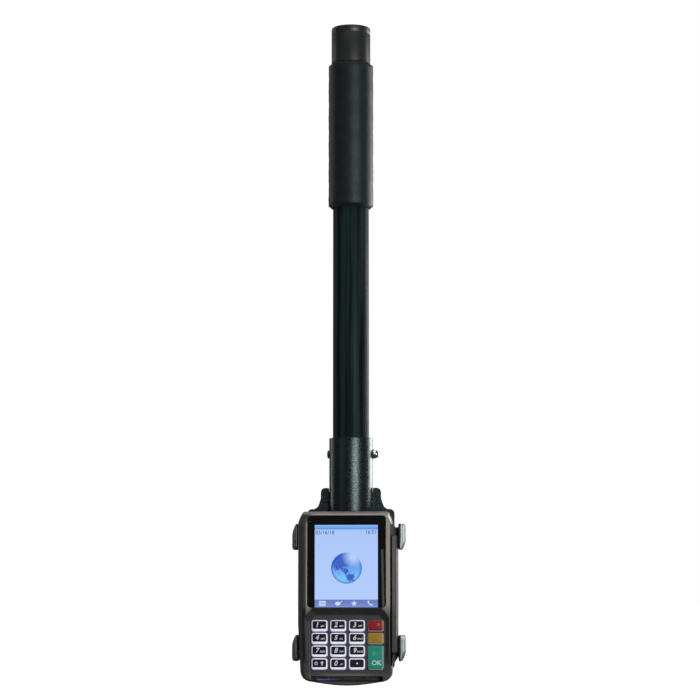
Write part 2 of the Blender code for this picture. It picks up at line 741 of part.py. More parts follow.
def clamp_pad(name):
    """The moulded pad over a right-hand arm's upright, about the same origin."""
    x0 = PAD_INNER_X - CLAMP_SCREW_X
    x1 = x0 + PAD_THICK
    near, far = PAD_Y
    half = PAD_LENGTH / 2

    def ring(y, slim, low, high):
        outline = rectangle(x0, x1 - slim, low - PAD_DROP, high - PAD_DROP, 1.2, 2)
        return at_y(outline, y)

    pad = loft(name, BLACK_RUBBER, [
        ring(near, 0.8, -half + 3.0, half - 1.2),
        ring(near - 4.0, 0.0, -half, half),
        ring(far + 5.0, 0.0, -half, half),
        ring(far + 1.0, 0.6, -half + 1.5, half - 1.0),
        ring(far, 2.2, -half + 3.5, half - 3.0),
    ])
    grip = (PAD_THICK - ARM_THICK) / 2 - GAP
    cut(pad, box("pocket", None, (x0 + grip, x1 - grip), (near + 1.0, ARM_TIP_Y - GAP),
                 (-ARM_WIDTH / 2 - GAP, ARM_WIDTH / 2 + GAP)))
    return pad


def clamp_screw(name):
    head = -PLATE_THICK / 2 - GAP - FOOT_THICK - GAP
    profile = ((2.0, PLATE_THICK / 2 + 3.4), (2.0, head + 0.05), (3.6, head), (3.6, head - 1.4),
               (2.6, head - 2.0))
    screw = turned(name, DARK_SCREW, profile, "y", sides=SMALL_ROUND)
    cut(screw, turned("socket", None, ((1.3, head - 3.0), (1.3, head - 0.9)), "y", sides=6))
    return screw


def clamp_nut(name):
    seat = PLATE_THICK / 2 + GAP
    nut = turned(name, DARK_SCREW, ((5.2, seat), (5.2, seat + 0.8)), "y", sides=24)
    join(nut, turned("hex", None, ((4.0, seat + 0.5), (4.0, seat + 4.0)), "y", sides=6))
    cut(nut, turned("bore", None, ((2.3, seat - 1.0), (2.3, seat + 5.0)), "y",
                    sides=SMALL_ROUND))
    return nut


def clamps(holder):
    """Four clamps: the right-hand ones, and their mirror images on the left."""
    makers = {"arm": clamp_arm, "pad": clamp_pad, "screw": clamp_screw, "nut": clamp_nut}
    masters = {}
    for row, z in CLAMP_ROWS.items():
        for side, sign in (("right", 1), ("left", -1)):
            parent = holder
            for kind, maker in makers.items():
                name = f"clamp_{kind}_{row}_{side}"
                if row != "lower":
                    piece = twin(masters[kind, side], name)
                elif side == "left":
                    piece = mirrored(masters[kind, "right"], name)
                else:
                    piece = maker(name)
                    smooth(piece)
                masters.setdefault((kind, side), piece)
                if kind == "arm":
                    parent = place(piece, holder, (sign * CLAMP_SCREW_X, 0.0, z))
                else:
                    place(piece, parent)


def build_holder(holder):
    place(bracket_plate(), holder)
    for piece in (pole_collar(), pole_tube(), foam_grip(), pole_end_cap()):
        smooth(piece)
        place(piece, holder)
    for piece in (collar_bolt(), collar_nut()):
        smooth(piece)
        place(piece, holder, (0.0, 0.0, BOLT_HEIGHT))
    clamps(holder)


def main():
    for obj in list(bpy.data.objects):
        bpy.data.objects.remove(obj)
    build_holder(anchor("holder", (0.0, 0.0, -GRIP_CENTRE)))
    build_terminal(anchor("terminal", (0.0, 0.0, TERMINAL_TOP - GRIP_CENTRE)))


main()
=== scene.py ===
"""Looks for the card payment terminal in its pole holder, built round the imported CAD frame."""

import json
import math

import bmesh
import bpy
from mathutils import Matrix, Vector


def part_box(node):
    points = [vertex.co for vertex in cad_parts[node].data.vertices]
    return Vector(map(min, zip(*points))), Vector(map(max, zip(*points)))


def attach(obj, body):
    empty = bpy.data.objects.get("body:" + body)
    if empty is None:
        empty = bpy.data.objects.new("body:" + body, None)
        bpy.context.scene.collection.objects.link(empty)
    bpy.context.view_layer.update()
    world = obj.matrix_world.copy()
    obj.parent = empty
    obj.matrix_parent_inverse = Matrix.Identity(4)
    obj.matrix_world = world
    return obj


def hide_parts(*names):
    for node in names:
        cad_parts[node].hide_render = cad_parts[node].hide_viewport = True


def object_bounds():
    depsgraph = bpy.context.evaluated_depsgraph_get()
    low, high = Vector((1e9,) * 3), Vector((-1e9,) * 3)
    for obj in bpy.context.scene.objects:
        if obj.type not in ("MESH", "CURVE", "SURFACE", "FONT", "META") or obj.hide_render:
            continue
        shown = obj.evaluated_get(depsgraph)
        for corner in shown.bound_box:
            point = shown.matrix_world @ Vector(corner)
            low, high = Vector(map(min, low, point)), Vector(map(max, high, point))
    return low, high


MM = 0.001
ROOT = "holder_and_terminal"

# Camera: a long lens level with the terminal, a little to its right.
LENS = 120.0
VIEW_AZIMUTH = math.radians(4.0)
FRAME_MARGIN = 1.05

# Light that reaches the object from the surroundings, in front of it and behind it.
FRONT_FILL = 0.036
BACK_FILL = 0.22
FLOOR_DROP = 0.06         # how far the floor lies below the object, in metres
FLOOR_REACH = 40.0

# Two narrow reflections on the glass: where they fall, in millimetres from the terminal's middle
# and top edge, and where their source stands from there, in metres.
GLARE_X = 30.0
GLARE_Z = -48.0
GLARE_SOURCE = (-0.0836, -1.5, 0.004)
GLARE_POWER = 0.0009

SEA_TINT = (0.74, 0.97, 1.0, 1.0)   # the black paint's highlights lean to blue-green
LATHE_SIDES = 96
SHARP_EDGE = 28                     # degrees from which an edge of a node stays sharp
WELD_GAP = 0.00001                  # split corners closer than this are joined, in metres

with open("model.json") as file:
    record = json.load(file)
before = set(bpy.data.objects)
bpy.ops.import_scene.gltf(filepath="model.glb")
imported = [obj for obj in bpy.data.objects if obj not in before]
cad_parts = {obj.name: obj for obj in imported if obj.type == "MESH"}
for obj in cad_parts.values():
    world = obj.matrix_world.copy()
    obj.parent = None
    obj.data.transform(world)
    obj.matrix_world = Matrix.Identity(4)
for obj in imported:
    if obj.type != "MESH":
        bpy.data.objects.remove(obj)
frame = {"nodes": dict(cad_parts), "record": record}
CAD_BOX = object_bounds()
TOP_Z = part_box("terminal_front_housing")[1].z / MM      # the terminal's top edge
GLASS_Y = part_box("display_window")[0].y / MM            # the glass's outer face
DECK_Y = -41.5                                          # the keypad deck's outer face

# The display, in millimetres down from the terminal's top edge.
LCD = {"left": -28.0, "right": 26.0, "top": -11.7, "bottom": -81.8}
STATUS_BAR = 3.8
SOFTKEY_BAR = 6.6
GLOBE_CENTRE = (-0.8, -48.5)
GLOBE_RADIUS = 13.2

# The card slot's middle, down from the top edge, and the two ribs at its upper lip.
SLOT_Z = -143.2
RIB_X = (-17.0, 16.5)


# ---------------------------------------------------------------- node materials

class Shader:
    """A Principled material and the few node steps used on it."""

    def __init__(self, name, base, roughness, metallic=0.0):
        self.material = bpy.data.materials.new(name)
        self.material.use_nodes = True
        self.tree = self.material.node_tree
        self.bsdf = self.tree.nodes["Principled BSDF"]
        self.set("Base Color", (*base, 1.0))
        self.set("Roughness", roughness)
        self.set("Metallic", metallic)
        self.base = base
        self.coords = self.tree.nodes.new("ShaderNodeTexCoord").outputs["Object"]

    def set(self, socket, value):
        self.bsdf.inputs[socket].default_value = value
        return self

    def link(self, a, b):
        self.tree.links.new(a, b)

    def stretch(self, scale):
        """Object coordinates scaled on each axis."""
        mapping = self.tree.nodes.new("ShaderNodeMapping")
        mapping.inputs["Scale"].default_value = scale
        self.link(self.coords, mapping.inputs["Vector"])
        return mapping.outputs["Vector"]

    def noise(self, size_mm, detail=4.0, rough=0.6, stretch=(1.0, 1.0, 1.0)):
        """Noise whose features are about size_mm across."""
        node = self.tree.nodes.new("ShaderNodeTexNoise")
        node.inputs["Scale"].default_value = 1.0
        node.inputs["Detail"].default_value = detail
        node.inputs["Roughness"].default_value = rough
        per_metre = 1.0 / (size_mm * MM)
        self.link(self.stretch(tuple(per_metre * s for s in stretch)), node.inputs["Vector"])
        return node.outputs["Fac"]

    def cells(self, size_mm):
        """Distance to the middle of the nearest cell of about size_mm."""
        node = self.tree.nodes.new("ShaderNodeTexVoronoi")
        node.inputs["Scale"].default_value = 1.0
        per_metre = 1.0 / (size_mm * MM)
        self.link(self.stretch((per_metre,) * 3), node.inputs["Vector"])
        return node.outputs["Distance"]

    def span(self, value, low, high, lo_in=0.3, hi_in=0.7):
        """A value between lo_in and hi_in moved to between low and high."""
        node = self.tree.nodes.new("ShaderNodeMapRange")
        node.inputs["From Min"].default_value = lo_in
        node.inputs["From Max"].default_value = hi_in
        node.inputs["To Min"].default_value = low
        node.inputs["To Max"].default_value = high
        self.link(value, node.inputs["Value"])
        return node.outputs["Result"]

    def vary_roughness(self, value, low, high, lo_in=0.3, hi_in=0.7):
        self.link(self.span(value, low, high, lo_in, hi_in), self.bsdf.inputs["Roughness"])
        return self

    def vary_colour(self, value, other, lo_in=0.35, hi_in=0.65):
        """Mottle the base colour with another."""
        mottle = self.blend(self.span(value, 0.0, 1.0, lo_in, hi_in), self.base, other)
        self.link(mottle, self.bsdf.inputs["Base Color"])
        return self

    def maths(self, operation, a, b=0.0):
        """A maths node on two values, each a number or a socket."""
        node = self.tree.nodes.new("ShaderNodeMath")
        node.operation = operation
        for socket, value in zip(node.inputs, (a, b)):
            if isinstance(value, (int, float)):
                socket.default_value = value
            else:
                self.link(value, socket)
        return node.outputs["Value"]

    def axis(self, name, scale=1.0):
        """One object coordinate in millimetres, times a scale."""
        split = self.tree.nodes.new("ShaderNodeSeparateXYZ")
        self.link(self.coords, split.inputs["Vector"])
        return self.maths("MULTIPLY", split.outputs[name], scale / MM)

    def blend(self, factor, a, b):
        """Colour a where the factor is 0 and b where it is 1; each a tuple or a socket."""
        mix = self.tree.nodes.new("ShaderNodeMix")
        mix.data_type = "RGBA"
        self.link(factor, mix.inputs["Factor"])
        for name, colour in (("A", a), ("B", b)):
            if isinstance(colour, tuple):
                mix.inputs[name].default_value = (*colour, 1.0)
            else:
                self.link(colour, mix.inputs[name])
        return mix.outputs["Result"]

    def within(self, name, low, high, soft):
        """1 between two heights on an axis, fading out over a soft width, all in mm."""
        value = self.axis(name)
        return self.maths("MULTIPLY", self.span(value, 0.0, 1.0, low - soft, low + soft),
                          self.span(value, 1.0, 0.0, high - soft, high + soft))

    def shade_keypad(self):
        """Paint shade into the sunk keypad: nearly black on its slopes and on the strip along its
        top edge, dark grey on its floor.

        Returns the slopes' mask."""
        sunk = self.maths("MULTIPLY", self.within("X", -38.9, 35.8, 0.3),
                          self.within("Z", TOP_Z - 137.5, TOP_Z - 82.9, 0.6))
        slope = self.maths("MULTIPLY", sunk, self.within("Y", DECK_Y - 2.7, -30.0, 0.2))
        floor = self.maths("MULTIPLY", sunk, self.within("Y", DECK_Y - 0.12, -30.0, 0.08))
        # painted shade: the recess's slopes, floor and top strip are darkened
        self.tint(slope, (0.011, 0.010, 0.010))
        self.tint(floor, (0.031, 0.028, 0.031))
        bridge = self.maths("MULTIPLY", self.within("X", -31.0, 30.0, 1.0),
                            self.within("Z", TOP_Z - 84.0, TOP_Z - 81.8, 0.1))
        self.tint(bridge, (0.010, 0.009, 0.009))
        return slope

    def paint_rim_light_and_shade(self):
        """Painted highlights on the rims round the display, along the top edge and on a crest at
        the left, painted shade on the right wall and a warm painted highlight on the chin.

        Returns the mask of the right wall and the corner above it."""
        upper = self.span(self.axis("Z"), 0.0, 1.0, TOP_Z - 90.0, TOP_Z - 78.0)
        front = self.span(self.axis("Y"), 1.0, 0.25, GLASS_Y - 0.45, GLASS_Y - 0.1)
        rim = self.maths("MULTIPLY", self.maths("MULTIPLY", upper, front),
                         self.span(self.axis("Y"), 1.0, 0.0, GLASS_Y, GLASS_Y + 1.5))
        crown = self.maths("MULTIPLY",
                           self.span(self.axis("Z"), 0.0, 0.9, TOP_Z - 3.2, TOP_Z - 2.0),
                           self.span(self.axis("Y"), 1.0, 0.0, -39.0, -37.0))
        crest = self.maths("MULTIPLY", self.within("X", -43.5, -42.1, 0.2),
                           self.within("Y", -41.5, -36.0, 0.7))
        # painted highlight: rims, top edge and left crest lightened as if lit from the front and
        # above
        pale = self.maths("MAXIMUM", self.maths("MAXIMUM", rim, crown),
                          self.maths("MULTIPLY", crest, 0.45))
        self.tint(pale, (0.30, 0.275, 0.235))
        # painted shade: the right wall darkened
        wall = self.span(self.axis("X"), 0.0, 1.0, 40.4, 41.6)
        self.tint(wall, (0.012, 0.012, 0.011))
        # painted highlight: a warm tan band on the chin above the card slot
        chin = self.maths("MULTIPLY", self.within("X", -20.0, 18.0, 9.0),
                          self.within("Z", TOP_Z - 140.0, TOP_Z - 137.5, 1.6))
        self.tint(chin, (0.145, 0.124, 0.100))
        corner = self.maths("MULTIPLY", self.span(self.axis("X"), 0.0, 1.0, 36.5, 38.5),
                            self.span(self.axis("Z"), 0.0, 1.0, TOP_Z - 14.0, TOP_Z - 10.0))
        return self.maths("MAXIMUM", wall, corner)

    def tint(self, factor, colour):
        """Move the base colour, as it stands, towards another where the factor is high."""
        earlier = self.bsdf.inputs["Base Color"].links[0].from_socket
        self.link(self.blend(factor, earlier, colour), self.bsdf.inputs["Base Color"])

    def glow(self, colour):
        self.link(colour, self.bsdf.inputs["Emission Color"])
        return self.set("Emission Strength", 1.0)

    def bump(self, value, depth_mm):
        """Raise the surface by the value, on top of any earlier bump."""
        node = self.tree.nodes.new("ShaderNodeBump")
        node.inputs["Strength"].default_value = 1.0
        node.inputs["Distance"].default_value = depth_mm * MM
        self.link(value, node.inputs["Height"])
        earlier = self.bsdf.inputs["Normal"].links
        if earlier:
            self.link(earlier[0].from_socket, node.inputs["Normal"])
        self.link(node.outputs["Normal"], self.bsdf.inputs["Normal"])
        return self


def powder_coat():
    """Fine orange-peel and grain, which break the highlight into speckle."""
    s = Shader("powder_coat", (0.0035, 0.0060, 0.0065), 0.36)
    s.set("Specular IOR Level", 0.54).set("Specular Tint", SEA_TINT)
    s.vary_colour(s.noise(2.0), (0.0060, 0.0090, 0.0095))
    s.vary_roughness(s.noise(1.5, 3.0, 0.7), 0.20, 0.42, 0.35, 0.65)
    s.bump(s.noise(1.2, 3.0, 0.75), 0.10)
    return s.bump(s.noise(4.0, 2.0), 0.04).material


def gloss_tube():
    """Black enamel with long faint streaks down the tube: lighter streaks in its colour are
    painted reflections, others vary its roughness and bump.
    """
    s = Shader("gloss_black_tube", (0.0025, 0.0050, 0.0060), 0.50)
    s.set("Specular IOR Level", 0.06).set("Specular Tint", SEA_TINT)
    along = (1.0, 1.0, 0.02)
    # painted reflection: long lighter streaks in the base colour
    s.vary_colour(s.noise(4.5, 3.0, 0.6, along), (0.013, 0.025, 0.025), 0.44, 0.58)
    s.vary_roughness(s.noise(1.6, 4.0, 0.6, along), 0.40, 0.62)
    return s.bump(s.noise(4.0, 2.0, 0.5, along), 0.03).material


def grip_foam():
    """Closed-cell foam: fine pores and a soft unevenness."""
    s = Shader("grip_foam", (0.0040, 0.0056, 0.0062), 0.50)
    s.set("Specular IOR Level", 0.36).set("Specular Tint", SEA_TINT)
    s.set("Sheen Weight", 0.03).set("Sheen Roughness", 0.5)
    s.vary_colour(s.noise(7.0, 4.0), (0.0065, 0.0088, 0.0095))
    s.vary_roughness(s.noise(1.0, 3.0), 0.38, 0.60)
    s.bump(s.cells(0.55), 0.06)
    return s.bump(s.noise(9.0, 3.0), 0.25).material


def pad_rubber():
    """Dark satin rubber."""
    s = Shader("pad_rubber", (0.0085, 0.0125, 0.0132), 0.36)
    s.set("Specular IOR Level", 0.5).set("Specular Tint", SEA_TINT)
    s.vary_colour(s.noise(3.0), (0.0135, 0.0190, 0.0200))
    s.vary_roughness(s.noise(1.4), 0.34, 0.52)
    return s.bump(s.noise(0.5, 3.0), 0.02).material


def metal(name, base, roughness):
    """Steel or tin with a faint grain."""
    s = Shader(name, base, roughness, 1.0)
    s.vary_colour(s.noise(2.4), tuple(c * 0.8 for c in base))
    s.vary_roughness(s.noise(0.8), roughness * 0.75, roughness * 1.35)
    return s.bump(s.noise(0.48, 2.0), 0.006).material


def terminal_plastic(name="terminal_plastic", keypad=False):
    """Warm dark grey moulding with a fine spark texture; with keypad set, painted shade round the
    keys and painted highlights and shade on the rims.
    """
    s = Shader(name, (0.046, 0.042, 0.037), 0.34)
    s.set("Coat Weight", 0.06).set("Coat Roughness", 0.30)
    s.vary_colour(s.noise(6.0), (0.058, 0.053, 0.047))
    satin = s.span(s.noise(0.8, 3.0), 0.28, 0.42)
    if keypad:
        dull = s.maths("MAXIMUM", s.paint_rim_light_and_shade(), s.shade_keypad())
        satin = s.maths("ADD", satin, s.maths("MULTIPLY", dull, 0.34))
    s.link(satin, s.bsdf.inputs["Roughness"])
    return s.bump(s.noise(0.35, 2.0), 0.012).material


def window_black():
    """Glossy black glass round the display."""
    s = Shader("window_black", (0.004, 0.004, 0.005), 0.03)
    s.set("Coat Weight", 0.4).set("Coat Roughness", 0.01)
    s.vary_colour(s.noise(20.0), (0.006, 0.006, 0.007))
    return s.vary_roughness(s.noise(14.0, 5.0), 0.008, 0.018).material


def plastic(name, base, roughness):
    """A plain moulding, board or rubber with a slight mottle."""
    s = Shader(name, base, roughness)
    s.vary_colour(s.noise(2.5), tuple(c * 0.75 for c in base))
    s.vary_roughness(s.noise(0.7), roughness * 0.8, roughness * 1.2)
    return s.bump(s.noise(0.3, 2.0), 0.008).material


def white_key():
    """Milky keys lit a little from below."""
    s = Shader("key_white", (0.86, 0.86, 0.94), 0.34)
    s.set("Subsurface Weight", 0.25).set("Subsurface Scale", 0.002)
    s.set("Emission Color", (0.80, 0.78, 1.0, 1.0)).set("Emission Strength", 0.34)
    s.vary_colour(s.noise(2.0), (0.74, 0.75, 0.87))
    return s.bump(s.noise(0.3, 2.0), 0.006).material


def coloured_key(name, base):
    """A translucent key in one colour."""
    s = Shader(name, base, 0.30)
    s.set("Subsurface Weight", 0.15).set("Subsurface Scale", 0.0015)
    s.vary_colour(s.noise(3.0), tuple(c * 0.82 for c in base))
    s.vary_roughness(s.noise(0.8), 0.25, 0.38)
    return s.bump(s.noise(0.3, 2.0), 0.006).material


def screen_light(name, upper, lower, z_upper, z_lower):
    """A lit part of the display, shaded from its upper to its lower edge in fine rows."""
    s = Shader(name, (0.004, 0.004, 0.005), 0.07)
    fade = s.span(s.axis("Z"), 0.0, 1.0, TOP_Z + z_upper, TOP_Z + z_lower)
    rows = s.maths("MULTIPLY", s.maths("SINE", s.axis("Z", 2 * math.pi / 0.33)), 0.03)
    return s.glow(s.blend(s.maths("ADD", fade, rows), upper, lower)).material


def globe_light():
    """A blue globe: dark land over a sea that brightens downwards, with a pale glint."""
    s = Shader("globe", (0.004, 0.004, 0.006), 0.07)
    x = s.axis("X", 1.0 / GLOBE_RADIUS)
    z = s.axis("Z", 1.0 / GLOBE_RADIUS)

    def near(cx, cz, reach):
        """1 at a point of the disc, falling to 0 at a reach from it."""
        dx = s.maths("SUBTRACT", x, cx)
        dz = s.maths("SUBTRACT", z, cz)
        away = s.maths("SQRT", s.maths("ADD", s.maths("MULTIPLY", dx, dx),
                                       s.maths("MULTIPLY", dz, dz)))
        return s.span(away, 1.0, 0.0, 0.0, reach)

    sea = s.blend(s.span(z, 0.0, 1.0, 0.6, -0.7), (0.075, 0.19, 0.74), (0.22, 0.56, 0.99))
    bias = s.maths("MAXIMUM", near(-0.42, 0.46, 1.15),
                   s.maths("MAXIMUM", near(0.24, -0.60, 0.55), near(-0.02, -0.20, 0.30)))
    coast = s.maths("ADD", s.noise(GLOBE_RADIUS * 0.26, 8.0, 0.68),
                    s.maths("MULTIPLY", bias, 0.56))
    land = s.span(coast, 0.0, 1.0, 0.74, 0.80)
    ground = s.blend(s.span(s.noise(1.3), 0.0, 1.0, 0.35, 0.65),
                     (0.014, 0.060, 0.42), (0.085, 0.20, 0.70))
    coloured = s.blend(land, sea, ground)
    edge = s.span(near(0.0, 0.0, 1.0), 0.75, 0.0, 0.0, 0.17)
    rimmed = s.blend(edge, coloured, (0.015, 0.075, 0.52))
    glint = s.span(near(0.46, 0.78, 0.80), 0.0, 1.0, 0.0, 0.75)
    return s.glow(s.blend(glint, rimmed, (0.45, 0.63, 0.96))).material


def slot_painted_reflection():
    """Painted reflection: a violet-blue glow strongest at the left and gone at the right."""
    s = Shader("slot_painted_reflection", (0.02, 0.02, 0.04), 0.2)
    fade = s.span(s.axis("X"), 1.0, 0.0, -24.0, -4.0)
    grain = s.maths("MULTIPLY", fade, s.span(s.noise(2.2), 0.55, 1.0))
    return s.glow(s.blend(grain, (0.004, 0.004, 0.010), (0.12, 0.12, 0.40))).material


def printed(name, base, roughness=0.4):
    """Printed lettering and thin edges."""
    s = Shader(name, base, roughness)
    s.vary_colour(s.noise(0.6), tuple(c * 0.88 for c in base))
    return s.vary_roughness(s.noise(0.4), roughness * 0.8, roughness * 1.2).material


LOOKS = {
    "slot_painted_reflection": slot_painted_reflection(),
    "screen_page": screen_light("screen_page", (0.415, 0.565, 0.94), (0.455, 0.62, 0.98),
                                LCD["top"], LCD["bottom"]),
    "screen_status": screen_light("screen_status", (0.26, 0.52, 0.93), (0.08, 0.28, 0.76),
                                  LCD["top"], LCD["top"] - STATUS_BAR),
    "screen_softkeys": screen_light("screen_softkeys", (0.13, 0.19, 0.55),
                                    (0.20, 0.27, 0.62), LCD["bottom"] + SOFTKEY_BAR,
                                    LCD["bottom"]),
    "screen_icon": screen_light("screen_icon", (0.66, 0.78, 0.98), (0.60, 0.73, 0.96),
                                LCD["top"], LCD["bottom"]),
    "screen_ink": screen_light("screen_ink", (0.035, 0.045, 0.17), (0.05, 0.07, 0.20),
                               LCD["top"], LCD["bottom"]),
    "globe": globe_light(),
    "legend_white": printed("legend_white", (0.80, 0.81, 0.86)),
    "legend_faint": printed("legend_faint", (0.05, 0.36, 0.24)),
    "legend_red": printed("legend_red", (0.52, 0.16, 0.17)),
    "legend_yellow": printed("legend_yellow", (0.50, 0.33, 0.06)),
    "key_top": printed("key_top", (0.012, 0.011, 0.016), 0.26),
    "terminal_face": terminal_plastic("terminal_face", keypad=True),
    "key_rim": printed("key_rim", (0.62, 0.60, 0.62), 0.32),
    "powder_coat": powder_coat(),
    "gloss_black_tube": gloss_tube(),
    "grip_foam": grip_foam(),
    "pad_rubber": pad_rubber(),
    "bright_steel": metal("bright_steel", (0.46, 0.46, 0.45), 0.24),
    "dark_steel": metal("dark_steel", (0.110, 0.113, 0.118), 0.38),
    "terminal_plastic": terminal_plastic(),
    "window_black": window_black(),
    "lcd": metal("lcd", (0.45, 0.47, 0.50), 0.35),
    "key_white": white_key(),
    "key_red": coloured_key("key_red", (0.28, 0.004, 0.008)),
    "key_yellow": coloured_key("key_yellow", (0.36, 0.235, 0.012)),
    "key_green": coloured_key("key_green", (0.006, 0.29, 0.215)),
    "board_green": plastic("board_green", (0.015, 0.12, 0.05), 0.40),
    "silicone": plastic("silicone", (0.33, 0.33, 0.36), 0.62),
    "tin": metal("tin", (0.55, 0.55, 0.54), 0.30),
    "black_plastic": plastic("black_plastic", (0.014, 0.015, 0.016), 0.42),
}


def dress_cad_nodes():
    """Every carried-over CAD node takes its slot's material."""
    slots = {s["node"]: s["material_slot"] for s in frame["record"]["subparts"]}
    for name, obj in frame["nodes"].items():
        look = "terminal_face" if name == "terminal_front_housing" else slots[name]
        obj.data.materials.clear()
        obj.data.materials.append(LOOKS[look])


def smooth_by_angle(degrees):
    """A modifier's node group: smooth shading except at edges sharper than the angle."""
    tree = bpy.data.node_groups.new("smooth_by_angle", "GeometryNodeTree")
    for direction in ("INPUT", "OUTPUT"):
        tree.interface.new_socket("Geometry", in_out=direction, socket_type="NodeSocketGeometry")
    faces = tree.nodes.new("GeometryNodeSetShadeSmooth")
    edges = tree.nodes.new("GeometryNodeSetShadeSmooth")
    edges.domain = "EDGE"
    edges.inputs["Shade Smooth"].default_value = False
    sharp = tree.nodes.new("FunctionNodeCompare")
    sharp.inputs["B"].default_value = math.radians(degrees)
    angle = tree.nodes.new("GeometryNodeInputMeshEdgeAngle")
    tree.links.new(angle.outputs["Unsigned Angle"], sharp.inputs["A"])
    tree.links.new(sharp.outputs["Result"], edges.inputs["Selection"])
    start = tree.nodes.new("NodeGroupInput")
    end = tree.nodes.new("NodeGroupOutput")
    tree.links.new(start.outputs["Geometry"], faces.inputs["Geometry"])
    tree.links.new(faces.outputs["Geometry"], edges.inputs["Geometry"])
    tree.links.new(edges.outputs["Geometry"], end.inputs["Geometry"])
    return tree


def smooth_shading(obj, tree):
    """Join the mesh's split corners and shade its faceted curves smooth."""
    weld = obj.modifiers.new("weld", "WELD")
    weld.merge_threshold = WELD_GAP
    obj.modifiers.new("smooth", "NODES").node_group = tree


def soften(obj, width_mm):
    """Round the node's edges by a small width."""
    bevel = obj.modifiers.new("bevel", "BEVEL")
    bevel.width = width_mm * MM
    bevel.segments = 3
    bevel.limit_method = "ANGLE"
    bevel.angle_limit = math.radians(30)
    bevel.harden_normals = False
    normals = obj.modifiers.new("normals", "WEIGHTED_NORMAL")
    normals.keep_sharp = True


def soften_cad_nodes():
    """Smooth shading on every CAD node, and rounded edges on the ones that show most."""
    smoothing = smooth_by_angle(SHARP_EDGE)
    for node, obj in frame["nodes"].items():
        smooth_shading(obj, smoothing)
        if node.startswith(("terminal_front", "terminal_rear", "bracket_plate")):
            soften(obj, 0.5)
        if node.startswith(("clamp_arm", "rubber_foot", "rear_hatch")):
            soften(obj, 0.3)


# ---------------------------------------------------------------- mesh tools

def solid(name, look, verts, faces, sharp=35):
    """A mesh object from millimetre points, its faces turned outwards."""
    mesh = bpy.data.meshes.new(name)
    mesh.from_pydata([Vector(v) * MM for v in verts], [], faces)
    form = bmesh.new()
    form.from_mesh(mesh)
    bmesh.ops.recalc_face_normals(form, faces=form.faces)
    form.to_mesh(mesh)
    form.free()
    mesh.shade_smooth()
    mesh.set_sharp_from_angle(angle=math.radians(sharp))
    obj = bpy.data.objects.new(name, mesh)
    bpy.context.scene.collection.objects.link(obj)
    mesh.materials.append(LOOKS[look])
    return obj


def loft(name, look, rings, sharp=35, closed=False):
    """A closed solid through rings of equally many points; closed joins last to first."""
    count = len(rings[0])
    verts = [point for ring in rings for point in ring]
    faces = []
    if not closed:
        faces = [tuple(range(count)), tuple(range(len(verts) - count, len(verts)))]
    for k in range(len(rings) if closed else len(rings) - 1):
        for i in range(count):
            a = k * count + i
            b = k * count + (i + 1) % count
            step = count if k < len(rings) - 1 else -k * count
            faces.append((a, b, b + step, a + step))
    return solid(name, look, verts, faces, sharp)


def rounded(x0, x1, z0, z1, radius, steps=6):
    """A rounded rectangle as (x, z) points."""
    outline = []
    spots = ((x1 - radius, z1 - radius), (x0 + radius, z1 - radius),
             (x0 + radius, z0 + radius), (x1 - radius, z0 + radius))
    for quarter, (cx, cz) in enumerate(spots):
        for i in range(steps + 1):
            angle = math.pi / 2 * (quarter + i / steps)
            outline.append((cx + radius * math.cos(angle), cz + radius * math.sin(angle)))
    return outline


def disc(x, z, radius, sides=24):
    """A circle as points, about any middle."""
    return [(x + radius * math.cos(2 * math.pi * k / sides),
             z + radius * math.sin(2 * math.pi * k / sides)) for k in range(sides)]


def flat(name, look, outline, y0, y1):
    """A thin sheet between two depths, from an (x, z) outline."""
    return loft(name, look, [[(x, y, z) for x, z in outline] for y in (y0, y1)])


def lathe(name, look, profile, sharp=35):
    """A ring turned about the pole's axis from a closed (radius, z) profile."""
    rings = []
    for i in range(LATHE_SIDES):
        angle = 2 * math.pi * i / LATHE_SIDES
        c, n = math.cos(angle), math.sin(angle)
        rings.append([(r * c, r * n, z) for r, z in profile])
    return loft(name, look, rings, sharp, closed=True)


def text(name, look, words, size, x, z, depth, shear=0.0, weight=0.0, align="CENTER"):
    """Raised lettering facing -Y, centred on (x, z); depth is its (back, front) in y."""
    curve = bpy.data.curves.new(name, "FONT")
    curve.body = words
    curve.size = size * MM
    curve.shear = shear
    curve.offset = weight * MM
    curve.align_x = align
    curve.align_y = "CENTER"
    curve.extrude = abs(depth[1] - depth[0]) / 2 * MM
    curve.resolution_u = 6
    draft = bpy.data.objects.new(name, curve)
    bpy.context.scene.collection.objects.link(draft)
    graph = bpy.context.evaluated_depsgraph_get()
    mesh = bpy.data.meshes.new_from_object(draft.evaluated_get(graph))
    bpy.data.objects.remove(draft)
    place = Matrix.Translation(Vector((x, (depth[0] + depth[1]) / 2, z)) * MM)
    mesh.transform(place @ Matrix.Rotation(math.pi / 2, 4, "X"))
    mesh.materials.clear()
    mesh.materials.append(LOOKS[look])
    obj = bpy.data.objects.new(name, mesh)
    bpy.context.scene.collection.objects.link(obj)
    return obj


def ride(body, slot, *pieces):
    """Fix pieces to a body; the slot it is given is not used."""
    for piece in pieces:
        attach(piece, body)


# ---------------------------------------------------------------- holder

def radius_of(node):
    """Half of a turned node's width, in millimetres."""
    low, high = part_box(node)
    return (high.x - low.x) / 2 / MM


def span_of(node):
    """A node's lower and upper height, in millimetres."""
    low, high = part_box(node)
    return low.z / MM, high.z / MM


